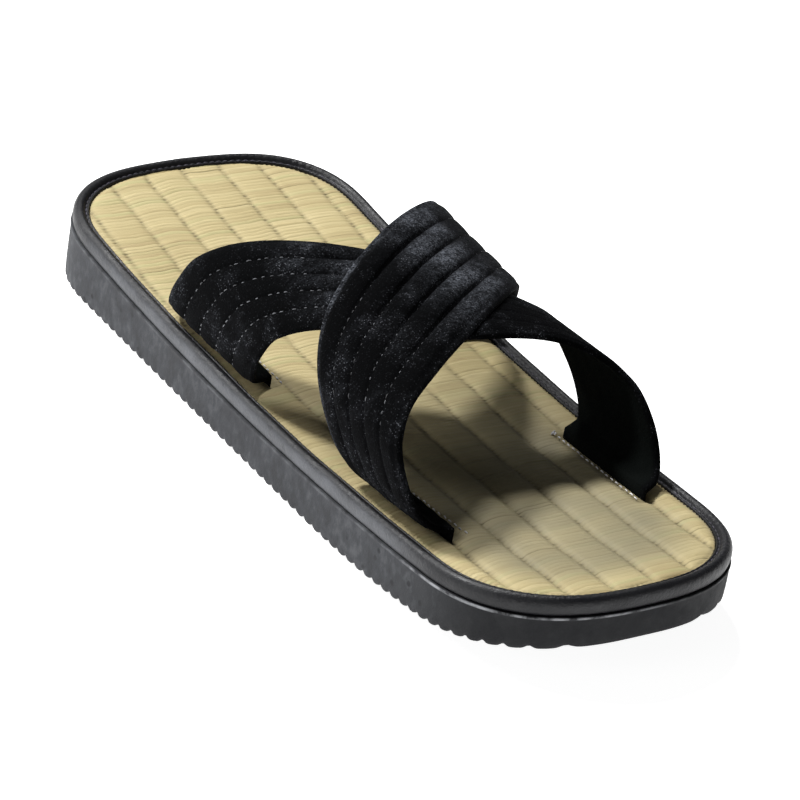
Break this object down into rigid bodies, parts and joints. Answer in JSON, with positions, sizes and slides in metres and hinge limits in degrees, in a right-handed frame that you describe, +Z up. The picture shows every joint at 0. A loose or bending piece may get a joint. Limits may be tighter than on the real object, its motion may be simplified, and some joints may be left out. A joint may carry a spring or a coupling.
{
  "type": "zori sandal",
  "caption": "Flat sandal with a woven rush mat on a thick rubber sole, and wide padded fabric straps crossed in an X over the foot.",
  "frame": {"origin": "on the floor, under the middle of the sandal's box", "axes": "+Z up, the toe towards -Y and the heel towards +Y"},
  "size_m": [0.1074, 0.28, 0.0678],
  "materials": {
    "sole_rubber": "matte, scuffed",
    "rush_mat": "woven rush, satin",
    "binding_vinyl": "soft vinyl, low gloss",
    "strap_velvet": "velvet nap with pale stitching"
  },
  "bodies": {
    "root": {"outsole": "sole_rubber", "insole": "rush_mat", "binding": "binding_vinyl", "strap_upper": "strap_velvet"}
  },
  "joints": []
}
